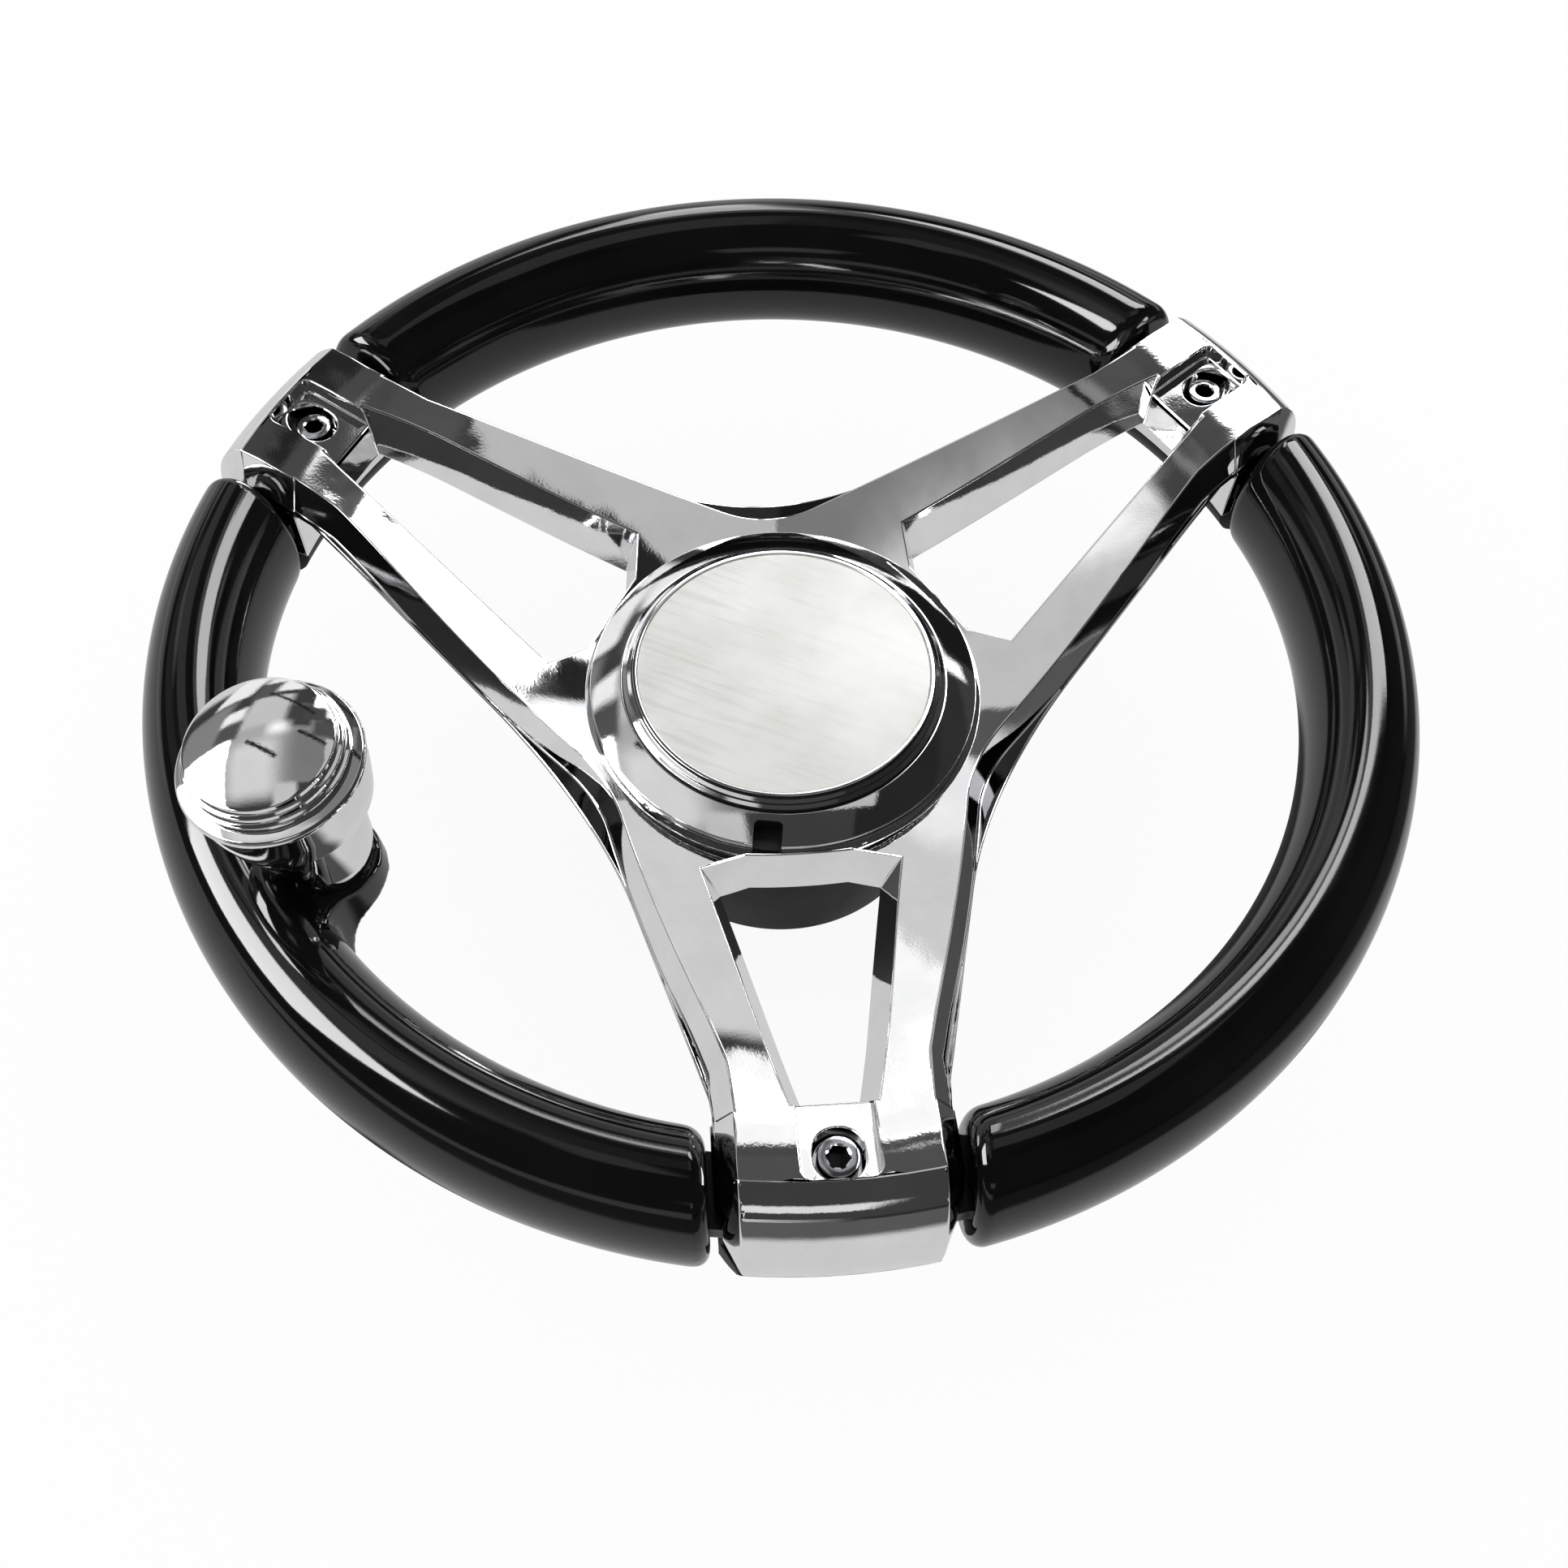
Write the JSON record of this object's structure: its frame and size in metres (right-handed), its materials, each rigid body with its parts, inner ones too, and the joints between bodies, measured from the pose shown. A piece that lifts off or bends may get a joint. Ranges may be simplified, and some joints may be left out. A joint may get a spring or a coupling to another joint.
{
  "type": "boat steering wheel",
  "caption": "Boat steering wheel with forked chromed spokes, an oval black moulded rim, a round centre cap, a tapered-bore hub and a leaning spinner knob.",
  "frame": {"origin": "middle of the hub's flat base, on the steering shaft's axis", "axes": "+Z along the shaft towards the driver; the lower spoke points along -Y, the others at 30 and 150 degrees from +X, and the spinner knob stands at 210 degrees"},
  "size_m": [0.35, 0.3507, 0.1555],
  "materials": {
    "chrome_casting": "polished",
    "chrome_trim": "polished",
    "steel": "satin",
    "grip_black": "gloss",
    "satin_black": "satin",
    "cast_aluminium": "satin",
    "pearl": "gloss",
    "brass": "satin",
    "bushing": "satin"
  },
  "bodies": {
    "wheel": {"spoke_frame": "chrome_casting", "rim_core": "steel", "grip_top": "grip_black", "grip_right": "grip_black", "grip_left": "grip_black", "rear_clamp_right": "satin_black", "rear_clamp_left": "satin_black", "rear_clamp_bottom": "satin_black", "spoke_screw_right": "steel", "spoke_screw_left": "steel", "spoke_screw_bottom": "steel", "hub_carrier": "cast_aluminium", "hub_screws": "steel", "hub_shroud": "satin_black", "bezel_ring": "chrome_trim", "cap_body": "satin_black", "cap_trim": "chrome_trim", "cap_insert": "pearl", "knob_insert": "brass", "knob_stem": "chrome_trim", "knob_washer": "steel", "knob_spindle": "steel"},
    "knob": {"knob_shell": "chrome_trim", "bushing_lower": "bushing", "bushing_upper": "bushing", "knob_cap": "chrome_trim"}
  },
  "joints": [
    {"name": "knob_spin", "type": "hinge", "parent": "wheel", "child": "knob", "pos_m": [-0.12174, -0.07029, 0.13977], "axis": [-0.0785, -0.0453, 0.9959], "continuous": true}
  ]
}
